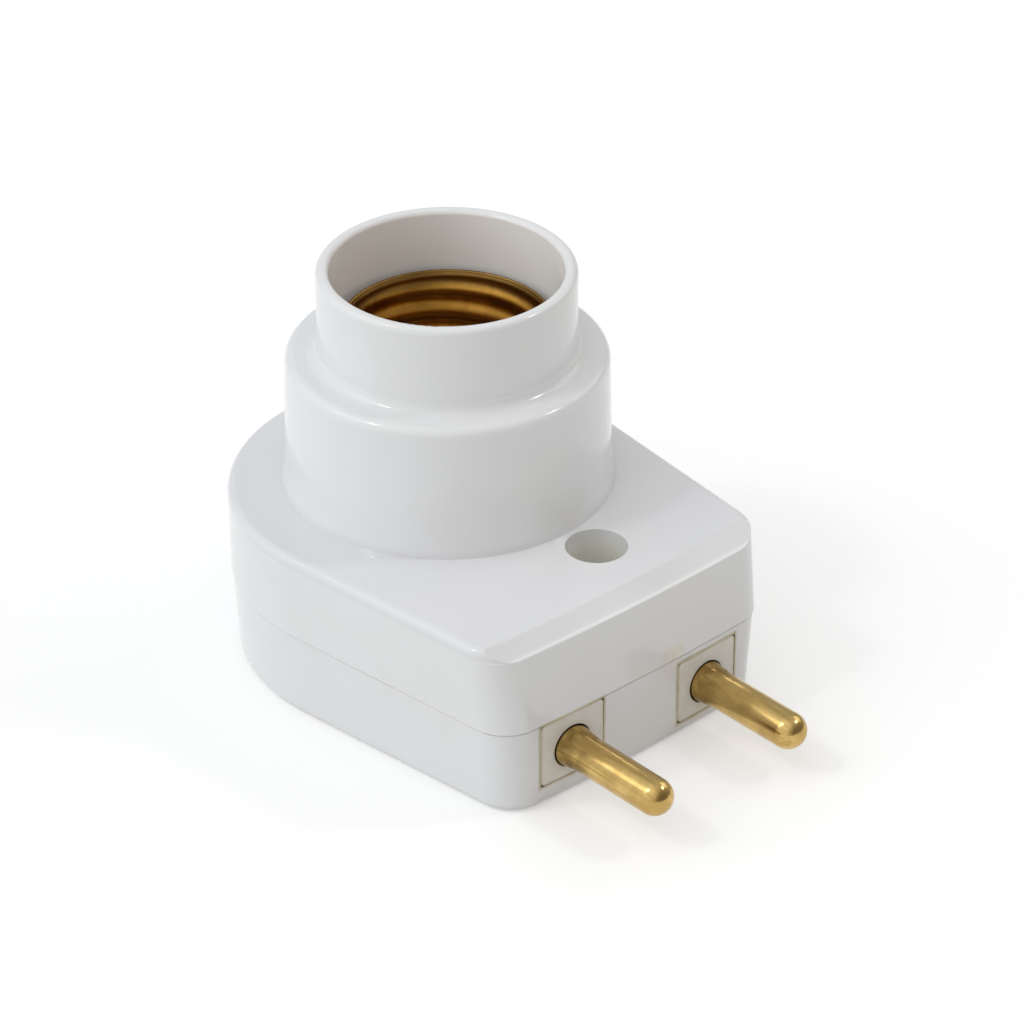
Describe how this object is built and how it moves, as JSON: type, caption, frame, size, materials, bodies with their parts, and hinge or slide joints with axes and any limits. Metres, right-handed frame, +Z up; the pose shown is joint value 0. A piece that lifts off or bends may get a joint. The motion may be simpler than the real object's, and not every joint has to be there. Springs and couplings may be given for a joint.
{
  "type": "plug-in lamp holder",
  "caption": "Plug-in lamp holder: white D-shaped housing with a stepped round collar, a screwed brass socket shell and plug pins at the front.",
  "frame": {"origin": "where the lamp axis meets the underside of the base cover", "axes": "+Z up along the lamp axis, out of the socket; the plug pins point along -Y; +X to the right when the pins face the viewer"},
  "size_m": [0.0552, 0.0847, 0.0552],
  "materials": {
    "housing_plastic": "glossy moulded white plastic",
    "insert_plastic": "off-white moulded plastic, slightly aged",
    "pin_brass": "turned solid brass, dull polish",
    "shell_brass": "bright pressed brass sheet",
    "zinc_steel": "zinc-plated steel",
    "carrier_ceramic": "unglazed cream ceramic"
  },
  "bodies": {
    "root": {"upper_housing": "housing_plastic", "base_cover": "housing_plastic", "pin_block_left": "insert_plastic", "pin_block_right": "insert_plastic", "plug_pin_left": "pin_brass", "plug_pin_right": "pin_brass", "pin_washer_left": "zinc_steel", "pin_washer_right": "zinc_steel", "pin_nut_left": "pin_brass", "pin_nut_right": "pin_brass", "contact_carrier": "carrier_ceramic", "thread_shell": "shell_brass", "centre_contact": "shell_brass", "line_strip": "shell_brass", "neutral_strip": "shell_brass", "contact_rivet": "shell_brass", "shell_rivet_front": "shell_brass", "shell_rivet_back": "shell_brass", "carrier_screw_front": "zinc_steel", "carrier_screw_back": "zinc_steel", "housing_screw": "zinc_steel"}
  },
  "joints": []
}
